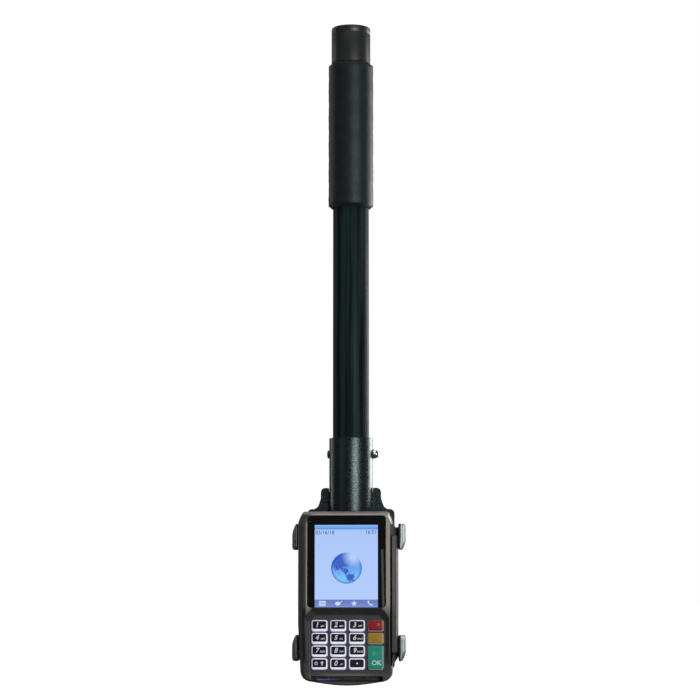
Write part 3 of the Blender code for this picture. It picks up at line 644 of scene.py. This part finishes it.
def ring_profile(outer, inner, z0, z1, edge):
    """A tube wall's section with rounded outer edges and eased inner ones."""
    steps = 5
    profile = [(inner, z1 - 0.2), (inner, z0 + 0.2), (inner + 0.2, z0)]
    for i in range(steps + 1):
        a = math.pi / 2 * i / steps
        profile.append((outer - edge + edge * math.sin(a), z0 + edge - edge * math.cos(a)))
    for i in range(steps + 1):
        a = math.pi / 2 * i / steps
        profile.append((outer - edge + edge * math.cos(a), z1 - edge + edge * math.sin(a)))
    profile.append((inner + 0.2, z1))
    return profile


def build_pole():
    """The pole and its collar, and the grip and cap that fit over the pole."""
    bore = radius_of("pole_tube")
    for node, look, edge, wall in (("pole_tube", "gloss_black_tube", 0.5, 2.0),
                                   ("pole_collar", "powder_coat", 0.7, 2.9)):
        outer = radius_of(node)
        piece = lathe(node + "_turned", look,
                      ring_profile(outer, outer - wall, *span_of(node), edge))
        ride(ROOT, look, piece)
        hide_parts(node)
    build_grip(bore)
    build_end_cap(bore)


def build_grip(bore):
    """The foam sleeve: soft ends and a slight unevenness along its length."""
    outer = radius_of("foam_grip")
    z0, z1 = span_of("foam_grip")
    profile = [(bore + 0.3, z1 - 1.0), (bore + 0.3, z0 + 1.0), (bore + 1.2, z0)]
    steps = 60
    soft = 2.6
    for i in range(steps + 1):
        z = z0 + (z1 - z0) * i / steps
        from_end = min(z - z0, z1 - z)
        ease = max(0.0, 1.0 - from_end / soft)
        wave = 0.10 * math.sin(i * 0.55) + 0.06 * math.sin(i * 1.7 + 1.0)
        profile.append((outer - 0.16 + wave * (1 - ease) - soft * ease * ease, z))
    profile.append((bore + 1.2, z1))
    grip = lathe("foam_grip_sleeve", "grip_foam", profile, sharp=60)
    ride(ROOT, "grip_foam", grip)
    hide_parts("foam_grip")


def build_end_cap(bore):
    """A cap with one groove round it, a rounded rim and a shallow dish in its top."""
    outer = radius_of("pole_end_cap")
    z0, z1 = span_of("pole_end_cap")
    groove = z1 - 6.0
    dish = z1 - 0.35
    under = z1 - 3.0
    rim = 1.6
    steps = 6
    profile = [(bore + 0.3, z0 + 0.2), (outer - 0.3, z0), (outer, z0 + 0.3),
               (outer, groove - 0.5), (outer - 0.25, groove), (outer, groove + 0.5)]
    for i in range(steps + 1):
        a = math.pi / 2 * i / steps
        profile.append((outer - rim + rim * math.cos(a), z1 - rim + rim * math.sin(a)))
    profile += [(outer - 3.2, z1), (outer - 3.6, dish), (0.5, dish), (0.5, under),
                (bore + 0.3, under)]
    cap = lathe("pole_end_cap_turned", "black_plastic", profile)
    middle = loft("pole_end_cap_centre", "black_plastic",
                  [[(x, y, z) for x, y in disc(0.0, 0.0, 0.8, 48)] for z in (under, dish - 0.02)])
    ride(ROOT, "black_plastic", cap, middle)
    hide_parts("pole_end_cap")


def pad_section():
    """A pad's section, (outward, y): ribs inside, and a slanting, stepped outer face."""
    near, far = -13.0, -40.5
    pitch = 3.0
    ribs = 7
    section = [(0.9, near), (0.2, near - 1.2)]
    for i in range(ribs):
        y = near - 2.4 - i * pitch
        section += [(0.0, y), (0.0, y - pitch * 0.55), (0.45, y - pitch * 0.7),
                    (0.45, y - pitch * 0.9)]
    section += [(0.0, -37.0), (0.2, -39.4), (0.8, -40.3), (1.5, far), (2.1, -40.2), (2.5, -39.6),
                (3.6, -36.2), (3.3, -35.5), (3.5, -34.9), (3.9, -34.6), (4.9, -31.4),
                (4.7, -30.8), (5.2, -30.2), (5.8, -27.6), (5.8, -19.0), (5.5, -15.5),
                (4.6, -13.6), (3.6, near)]
    return section


def pad_ring(t):
    """How far a pad draws in along its length: (all round, outer side only)."""
    sloped = max(0.0, 1.0 - t / 0.42)
    end = min(t, 1.0 - t) / 0.12
    return 0.28 * max(0.0, 1.0 - end) ** 2, 0.72 * sloped ** 1.6


def build_pads():
    """Ribbed pads. One end slopes: the lower one at the right, the upper one at the left.

    Past the spine the outer side draws in with the slope; the depth narrows about the core."""
    steps = 30
    spine = 1.6
    core = -25.0
    for row in ("lower", "upper"):
        for side, sign in (("right", 1), ("left", -1)):
            node = f"clamp_pad_{row}_{side}"
            low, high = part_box(node)
            inner = min(abs(low.x), abs(high.x)) / MM
            z0, z1 = (low.z / MM, high.z / MM)[::sign]
            rings = []
            for i in range(steps + 1):
                t = i / steps
                around, outer = pad_ring(t)
                ring = []
                for out, y in pad_section():
                    slope = 1 - outer if out > spine else 1.0
                    x = sign * (inner + spine + (out - spine) * (1 - around) * slope)
                    ring.append((x, core + (y - core) * (1 - around * 0.4), z0 + (z1 - z0) * t))
                rings.append(ring)
            pad = loft(node + "_moulded", "pad_rubber", rings, sharp=28)
            ride(f"clamp_{row}_{side}", "pad_rubber", pad)
            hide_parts(node)


def build_welds():
    """Weld beads where the collar sits between the plate's two prongs."""
    steps = 44
    sides = 10
    radius = radius_of("pole_collar") + 0.2
    z0 = span_of("pole_collar")[0] + 0.5
    z1 = span_of("bracket_plate")[1] - 3.0
    for side, sign in (("right", 1), ("left", -1)):
        for face, depth in (("front", -1.5), ("back", 1.5)):
            rings = []
            for i in range(steps + 1):
                z = z0 + (z1 - z0) * i / steps
                bulge = 0.85 + 0.16 * math.sin(i * 1.9) + 0.05 * math.sin(i * 0.7)
                bulge *= min(1.0, 0.35 + min(i, steps - i) * 0.3)
                rings.append([(x, y, z) for x, y in disc(sign * radius, depth, bulge, sides)])
            ride(ROOT, "powder_coat", loft(f"weld_{side}_{face}", "powder_coat", rings, sharp=70))


# ---------------------------------------------------------------- display

def on_glass(name, look, outline, lift=0.0):
    """A thin sheet on the glass; its outline's z runs down from the terminal's top edge."""
    outline = [(x, TOP_Z + z) for x, z in outline]
    return flat(name, look, outline, GLASS_Y + 0.05, GLASS_Y - 0.03 - lift)


def box_outline(x0, x1, z0, z1):
    """A rectangle as points."""
    return [(x0, z0), (x1, z0), (x1, z1), (x0, z1)]


def build_display():
    """The lit page with its bars, date, time, globe and signs, and the light sensor."""
    left, right, top, bottom = (LCD[k] for k in ("left", "right", "top", "bottom"))
    bar_top = bottom + SOFTKEY_BAR
    parts = [
        on_glass("screen_page", "screen_page",
                 box_outline(left, right, bar_top, top - STATUS_BAR)),
        on_glass("screen_status_bar", "screen_status",
                 box_outline(left, right, top - STATUS_BAR, top)),
        on_glass("screen_softkey_bar", "screen_softkeys",
                 box_outline(left, right, bottom, bar_top)),
    ]
    ink = (GLASS_Y, GLASS_Y - 0.06)
    line = TOP_Z + top - 6.6
    parts += [
        text("screen_date", "screen_ink", "03/16/18", 4.6, left + 0.5, line, ink, align="LEFT"),
        text("screen_time", "screen_ink", "16:51", 4.6, right - 0.6, line + 0.4, ink,
             align="RIGHT"),
        build_globe(),
    ]
    parts += build_icons(bottom + SOFTKEY_BAR / 2)
    ride(ROOT, "lcd", *parts)
    sensor = on_glass("light_sensor", "legend_faint", disc(-32.2, -8.4, 0.35, 20))
    ride(ROOT, "window_black", sensor)


def build_globe():
    """The globe picture, made about its own middle, which its shading is measured from."""
    x, z = GLOBE_CENTRE
    globe = flat("screen_globe", "globe", disc(0.0, 0.0, GLOBE_RADIUS, 72), 0.03, -0.04)
    globe.location = Vector((x, GLASS_Y - 0.02, TOP_Z + z)) * MM
    return globe


def build_icons(z):
    """Menu list, brush, star and handset, evenly spaced along the soft-key bar."""
    left, right = LCD["left"], LCD["right"]
    places = [left + (right - left) * (k + 0.5) / 4 + shift
              for k, shift in enumerate((-0.2, 0.0, 0.0, 0.3))]
    made = []
    for i in range(4):
        level = z + 1.8 - i * 1.2
        bar = box_outline(places[0] - 3.0, places[0] + 3.0, level - 0.4, level + 0.4)
        made.append(on_glass(f"icon_menu_{i + 1}", "screen_icon", bar, 0.03))
    x = places[1]
    blob = [(x - 0.6 + 2.1 * math.cos(t), z - 0.1 + 1.7 * math.sin(t))
            for t in [2 * math.pi * k / 28 for k in range(28)]]
    made.append(on_glass("icon_palette", "screen_icon", blob, 0.03))
    brush = [(x + 0.6, z - 0.6), (x + 1.2, z - 0.9), (x + 3.2, z + 2.2), (x + 2.5, z + 2.2)]
    made.append(on_glass("icon_brush", "screen_icon", brush, 0.05))
    x = places[2]
    star = []
    for k in range(10):
        reach = 2.7 if k % 2 == 0 else 1.15
        angle = math.pi / 2 + math.pi * k / 5
        star.append((x + reach * math.cos(angle), z + reach * math.sin(angle)))
    made.append(on_glass("icon_star", "screen_icon", star, 0.03))
    made.append(handset(places[3], z))
    return made


def handset(x, z):
    """A tilted telephone receiver: a curved bar that thickens at both ends."""
    outer, inner = [], []
    steps = 16
    for i in range(steps + 1):
        t = i / steps
        angle = math.radians(190 + 70 * t)
        thick = 0.9 + 1.1 * max(0.0, abs(2 * t - 1) - 0.45) / 0.55
        for radius, line in ((5.2, outer), (5.2 - thick, inner)):
            line.append((x + 2.6 + radius * math.cos(angle), z + 3.0 + radius * math.sin(angle)))
    return on_glass("icon_handset", "screen_icon", outer + inner[::-1], 0.03)


# ---------------------------------------------------------------- keypad

LETTERS = {"2": "ABC", "3": "DEF", "4": "GHI", "5": "JKL", "6": "MNO", "7": "PQRS",
           "8": "TUV", "9": "WXYZ", "1": "QZ.", "0": "-SP"}
LEGEND_DEPTH = (0.05, 0.005)        # a legend's back and front, in y from the key's top


def key_rings(x, z, half_x, half_z, levels):
    """Rings for a key body: each level is (y, grow, corner radius, shift in z)."""
    return [[(px, y, pz) for px, pz in
             rounded(x - half_x - grow, x + half_x + grow,
                     z + shift - half_z - grow, z + shift + half_z + grow, radius)]
            for y, grow, radius, shift in levels]


def key_place(node):
    """A key's middle, its half sizes above the flange, and its top in y."""
    low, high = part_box(node)
    flange = 0.5
    x, z = (low.x + high.x) / 2 / MM, (low.z + high.z) / 2 / MM
    half_x, half_z = (high.x - low.x) / 2 / MM - flange, (high.z - low.z) / 2 / MM - flange
    return x, z, half_x, half_z, low.y / MM


def build_white_key(node):
    """A milky body with a black inlay set high on its top, which carries the legends."""
    x, z, half_x, half_z, top = key_place(node)
    middle = z + 0.7
    body_levels = (
        (DECK_Y + 3.0, 0.0, 1.8, 0.0),
        (top + 1.7, 0.0, 1.8, 0.0),
        (top + 1.1, -0.18, 1.9, 0.05),
        (top + 0.55, -0.35, 1.9, 0.1),
        (top + 0.3, -0.55, 1.8, 0.15),
        (top + 0.2, -0.8, 1.6, 0.2),
    )
    inlay_levels = (
        (top + 0.6, 0.0, 1.2, 0.0),
        (top + 0.14, 0.0, 1.2, 0.0),
        (top + 0.03, -0.12, 1.1, 0.0),
        (top + 0.02, -0.5, 0.9, 0.0),
    )
    skirt = loft(node + "_skirt", "key_white",
                 key_rings(x, z, half_x, half_z, body_levels), sharp=50)
    cap = loft(node + "_top", "key_top",
               key_rings(x + 0.1, middle, half_x - 0.8, half_z - 1.4, inlay_levels), sharp=50)
    mark = node.split("_")[1]
    face = (top + LEGEND_DEPTH[0], top + LEGEND_DEPTH[1])
    legends = []
    if mark.isdigit():
        legends.append(text(node + "_digit", "legend_white", mark, 5.6, x - 2.0, middle, face,
                            0.25, 0.14))
        legends.append(text(node + "_letters", "legend_white", LETTERS[mark], 1.9, x + 2.7,
                            middle - 0.9, face, 0.25, 0.05))
    elif mark == "dot":
        legends.append(flat(node + "_dot", "legend_white", disc(x + 0.3, middle, 0.75), *face))
    else:
        ring = disc(x - 2.6, middle, 1.35)
        hole = disc(x - 2.6, middle, 0.75)
        legends.append(washer(node + "_ring", ring, hole, face))
        legends.append(flat(node + "_arrow", "legend_white", arrow(x + 2.4, middle), *face))
    ride(node + "_body", "key_white", skirt, cap, *legends)
    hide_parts(node)


def washer(name, outer, inner, face):
    """A flat ring between two outlines."""
    y0, y1 = face
    rings = [[(x, y, z) for x, z in line]
             for line, y in ((outer, y0), (outer, y1), (inner, y1), (inner, y0))]
    return loft(name, "legend_white", rings, closed=True)


def arrow(x, z):
    """An upward block arrow."""
    return [(x - 0.6, z - 1.7), (x + 0.6, z - 1.7), (x + 0.6, z + 0.2), (x + 1.6, z + 0.2),
            (x, z + 1.9), (x - 1.6, z + 0.2), (x - 0.6, z + 0.2)]


def build_coloured_key(node, look, legends):
    """A pale lower skirt with a coloured cap nearly covering it."""
    x, z, half_x, half_z, top = key_place(node)
    skirt_levels = (
        (DECK_Y + 3.0, 0.0, 1.5, 0.0),
        (top + 1.5, 0.0, 1.5, 0.0),
        (top + 1.1, -0.3, 1.4, 0.0),
        (top + 1.05, -0.9, 1.2, 0.0),
    )
    cap_levels = (
        (top + 1.5, -0.35, 1.3, 0.3),
        (top + 0.7, -0.35, 1.3, 0.3),
        (top + 0.25, -0.55, 1.3, 0.3),
        (top + 0.06, -0.9, 1.1, 0.3),
        (top + 0.02, -1.5, 0.9, 0.3),
    )
    skirt = loft(node + "_skirt", "key_rim",
                 key_rings(x, z, half_x, half_z, skirt_levels), sharp=50)
    cap = loft(node + "_cap", look, key_rings(x, z, half_x, half_z, cap_levels), sharp=50)
    face = (top + LEGEND_DEPTH[0], top + LEGEND_DEPTH[1])
    made = [text(f"{node}_legend_{i}", colour, words, size, x + dx, z + dz, face, 0.0, weight)
            for i, (words, size, dx, dz, weight, colour) in enumerate(legends)]
    ride(node + "_body", look, skirt, cap, *made)
    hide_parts(node)


def build_keys():
    """Twelve white keys, and the red, yellow and green ones with their legends."""
    for names in ("123", "456", "789", "0"):
        for digit in names:
            build_white_key("key_" + digit)
    build_white_key("key_dot")
    build_white_key("key_function")
    build_coloured_key("key_cancel", "key_red", [("\u00d7", 6.4, 2.6, 0.8, 0.0, "legend_red")])
    build_coloured_key("key_clear", "key_yellow", [("<", 3.6, 2.8, 0.6, 0.0, "legend_yellow")])
    build_coloured_key("key_enter", "key_green", [("OK", 5.6, 0.8, -4.4, 0.05, "legend_white")])
    x, z, _, _, top = key_place("key_enter")
    diamond = [(x - 1.2, z + 5.6), (x + 1.4, z + 3.6), (x - 1.2, z + 1.6), (x - 3.8, z + 3.6)]
    mark = flat("key_enter_mark", "legend_faint", diamond,
                top + LEGEND_DEPTH[0], top + LEGEND_DEPTH[1])
    ride("key_enter_body", "key_green", mark)


# ---------------------------------------------------------------- card slot

def build_card_slot():
    """A glowing bar inside the slot, which paints a reflection there, and two short ribs at its
    upper lip.
    """
    z = TOP_Z + SLOT_Z
    ends = ((-27.0, 0.15), (-26.2, 0.42), (-4.5, 0.42), (-3.6, 0.15))
    # painted reflection: a glowing bar in the dark slot
    bar = loft("card_slot_light", "slot_painted_reflection",
               [[(x, -35.2 - 0.45 * math.cos(a), z + reach * math.sin(a))
                 for a in [2 * math.pi * k / 16 for k in range(16)]] for x, reach in ends])
    ride(ROOT, "lcd", bar)
    for i, x in enumerate(RIB_X):
        outline = rounded(x - 0.3, x + 0.3, TOP_Z - 141.6, TOP_Z - 139.2, 0.25, 3)
        rib = flat(f"card_slot_rib_{i + 1}", "terminal_plastic", outline, -36.5, -41.4)
        ride(ROOT, "terminal_plastic", rib)


# ---------------------------------------------------------------- stage

def area_light(name, location, target, size, power):
    """A white rectangle of light turned to face its target."""
    data = bpy.data.lights.new(name, "AREA")
    data.shape = "RECTANGLE"
    data.size, data.size_y = size
    data.energy = power
    light = bpy.data.objects.new(name, data)
    bpy.context.scene.collection.objects.link(light)
    light.location = location
    light.rotation_euler = (Vector(target) - Vector(location)).to_track_quat("-Z", "Y").to_euler()
    return light


def set_camera():
    """The whole object in view, from the height of the terminal's middle."""
    low, high = CAD_BOX
    centre = (low + high) / 2
    terminal = sum(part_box("terminal_front_housing"), Vector()) / 2
    data = bpy.data.cameras.new("camera")
    data.lens = LENS
    camera = bpy.data.objects.new("camera", data)
    bpy.context.scene.collection.objects.link(camera)
    bpy.context.scene.camera = camera
    half = math.atan(data.sensor_width / 2 / LENS)
    reach = (high.z - low.z) / 2 * FRAME_MARGIN / math.tan(half)
    camera.location = (centre.x + reach * math.sin(VIEW_AZIMUTH),
                       centre.y - reach * math.cos(VIEW_AZIMUTH), terminal.z)
    aim = centre - camera.location
    camera.rotation_euler = aim.to_track_quat("-Z", "Y").to_euler()


def set_world():
    """A bright plain backdrop, dim in front so that the black parts stay black."""
    world = bpy.data.worlds.new("studio")
    bpy.context.scene.world = world
    world.use_nodes = True
    tree = world.node_tree
    backdrop = tree.nodes["Background"]
    backdrop.inputs["Color"].default_value = (1.0, 1.0, 1.0, 1.0)
    backdrop.inputs["Strength"].default_value = 1.0
    fill = tree.nodes.new("ShaderNodeBackground")
    fill.inputs["Color"].default_value = (0.93, 0.97, 1.0, 1.0)
    coords = tree.nodes.new("ShaderNodeTexCoord")
    split = tree.nodes.new("ShaderNodeSeparateXYZ")
    depth = tree.nodes.new("ShaderNodeMapRange")
    for socket, value in (("From Min", -0.5), ("From Max", 0.9),
                          ("To Min", FRONT_FILL), ("To Max", BACK_FILL)):
        depth.inputs[socket].default_value = value
    tree.links.new(coords.outputs["Generated"], split.inputs["Vector"])
    tree.links.new(split.outputs["Y"], depth.inputs["Value"])
    tree.links.new(depth.outputs["Result"], fill.inputs["Strength"])
    path = tree.nodes.new("ShaderNodeLightPath")
    mix = tree.nodes.new("ShaderNodeMixShader")
    tree.links.new(path.outputs["Is Camera Ray"], mix.inputs["Fac"])
    tree.links.new(fill.outputs["Background"], mix.inputs[1])
    tree.links.new(backdrop.outputs["Background"], mix.inputs[2])
    tree.links.new(mix.outputs["Shader"], tree.nodes["World Output"].inputs["Surface"])
    bpy.context.scene.view_settings.view_transform = "Standard"


def set_floor():
    """A white floor to the camera; darker to everything else, more so in front."""
    mesh = bpy.data.meshes.new("floor")
    level = CAD_BOX[0].z - FLOOR_DROP
    corners = box_outline(-FLOOR_REACH, FLOOR_REACH, -FLOOR_REACH, FLOOR_REACH)
    mesh.from_pydata([(x, y, level) for x, y in corners], [], [(0, 1, 2, 3)])
    floor = bpy.data.objects.new("floor", mesh)
    bpy.context.scene.collection.objects.link(floor)
    s = Shader("floor", (0.90, 0.90, 0.90), 0.9)
    s.vary_colour(s.noise(400.0, 2.0), (0.88, 0.88, 0.88))
    s.set("Emission Color", (1.0, 1.0, 1.0, 1.0)).set("Emission Strength", 1.0)
    dim = s.tree.nodes.new("ShaderNodeBsdfDiffuse")
    behind = s.span(s.axis("Y"), 0.0, 1.0, 60.0, 300.0)
    s.link(s.blend(behind, (0.10, 0.10, 0.10), (0.60, 0.60, 0.60)), dim.inputs["Color"])
    path = s.tree.nodes.new("ShaderNodeLightPath")
    mix = s.tree.nodes.new("ShaderNodeMixShader")
    s.link(path.outputs["Is Camera Ray"], mix.inputs["Fac"])
    s.link(dim.outputs["BSDF"], mix.inputs[1])
    s.link(s.bsdf.outputs["BSDF"], mix.inputs[2])
    s.link(mix.outputs["Shader"], s.tree.nodes["Material Output"].inputs["Surface"])
    mesh.materials.append(s.material)


def set_lights():
    """Soft lights all round, and two thin strips that the glass mirrors."""
    centre = (CAD_BOX[0] + CAD_BOX[1]) / 2
    level = sum(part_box("pole_collar"), Vector()) / 2
    area_light("key", (0.74, -1.43, -0.22), level, (0.66, 0.9), 22.0)
    area_light("back_right", (1.25, 0.80, 0.0), centre, (0.34, 1.3), 6.5)
    area_light("back_left", (-1.30, 0.70, 0.0), centre, (0.25, 1.3), 2.6)
    area_light("fill_left", (-1.1, -1.1, 0.1), centre, (0.8, 1.2), 1.3)
    area_light("top", (0.1, -0.55, 1.2), centre, (1.2, 0.5), 5.0)
    area_light("back", (1.00, 1.15, -0.15), level, (0.75, 0.75), 14.0)
    glass = Vector((GLARE_X, GLASS_Y, TOP_Z + GLARE_Z)) * MM
    x, y, z = GLARE_SOURCE
    for i, (aside, lean) in enumerate(((0.0, 1.2), (7.0, -1.0))):
        source = glass + Vector((x + aside * MM, y, z))
        strip = area_light(f"glare_{i + 1}", source, glass, (0.003, 0.085), GLARE_POWER)
        strip.rotation_euler.rotate_axis("Z", math.radians(lean))


# ---------------------------------------------------------------- run

dress_cad_nodes()
soften_cad_nodes()
build_pole()
build_pads()
build_welds()
build_display()
build_keys()
build_card_slot()
set_camera()
set_world()
set_floor()
set_lights()
